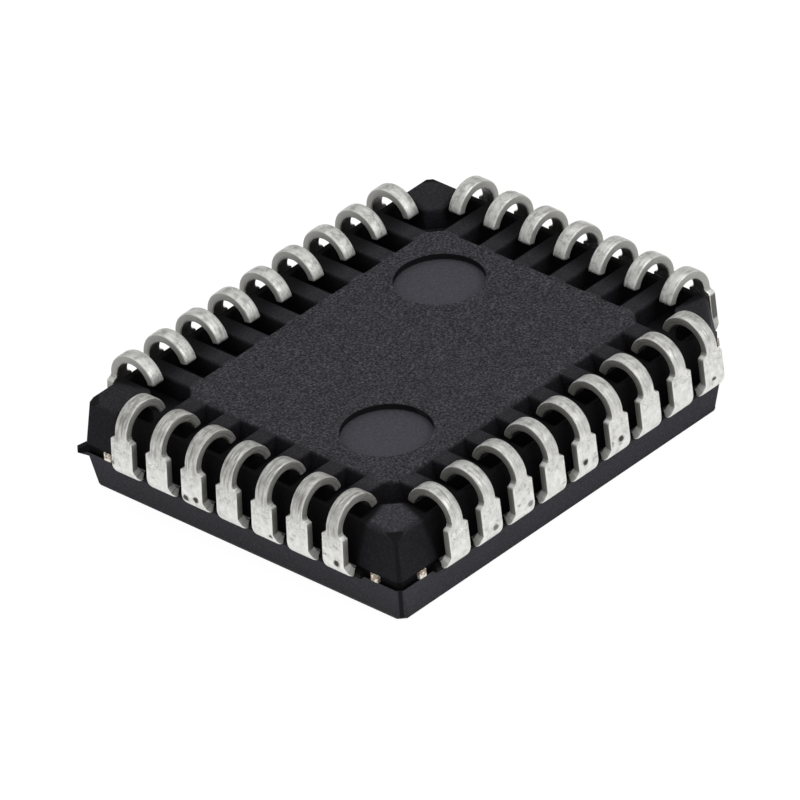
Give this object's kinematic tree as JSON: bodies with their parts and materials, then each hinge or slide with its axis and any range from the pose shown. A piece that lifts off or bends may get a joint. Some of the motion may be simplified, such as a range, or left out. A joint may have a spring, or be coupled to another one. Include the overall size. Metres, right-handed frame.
{
  "type": "plastic leaded chip carrier",
  "caption": "Rectangular moulded chip package lying on its marked face, with tinned J-shaped leads curling into open pockets on all four sides, round ejector marks and a cut index corner",
  "frame": {"origin": "centre of the marked face, at the bottom of the bounding box; the package lies on that face as in the picture, so it is upside down to how it sits on a board", "axes": "+X along the longer rows of leads towards the side with the first lead, +Y along the shorter rows, +Z from the marked face to the seating plane of the leads"},
  "size_m": [0.015, 0.0124, 0.0033],
  "materials": {
    "mould_resin": "fine matt texture on the underside's plateau and posts, smooth in the marks and pockets",
    "tinned_lead": "matt tin plating with small scuffs",
    "bare_frame": "bare copper alloy, cut at the stubs",
    "silver_adhesive": "cured silver-filled paste",
    "silicon": "polished",
    "gold_wire": "drawn gold"
  },
  "bodies": {
    "root": {"mould_body": "mould_resin", "lead_01": "tinned_lead", "lead_02": "tinned_lead", "lead_03": "tinned_lead", "lead_04": "tinned_lead", "lead_05": "tinned_lead", "lead_06": "tinned_lead", "lead_07": "tinned_lead", "lead_08": "tinned_lead", "lead_09": "tinned_lead", "lead_10": "tinned_lead", "lead_11": "tinned_lead", "lead_12": "tinned_lead", "lead_13": "tinned_lead", "lead_14": "tinned_lead", "lead_15": "tinned_lead", "lead_16": "tinned_lead", "lead_17": "tinned_lead", "lead_18": "tinned_lead", "lead_19": "tinned_lead", "lead_20": "tinned_lead", "lead_21": "tinned_lead", "lead_22": "tinned_lead", "lead_23": "tinned_lead", "lead_24": "tinned_lead", "lead_25": "tinned_lead", "lead_26": "tinned_lead", "lead_27": "tinned_lead", "lead_28": "tinned_lead", "lead_29": "tinned_lead", "lead_30": "tinned_lead", "lead_31": "tinned_lead", "lead_32": "tinned_lead", "die_pad": "bare_frame", "die_attach": "silver_adhesive", "silicon_die": "silicon", "bond_wires": "gold_wire"}
  },
  "joints": []
}
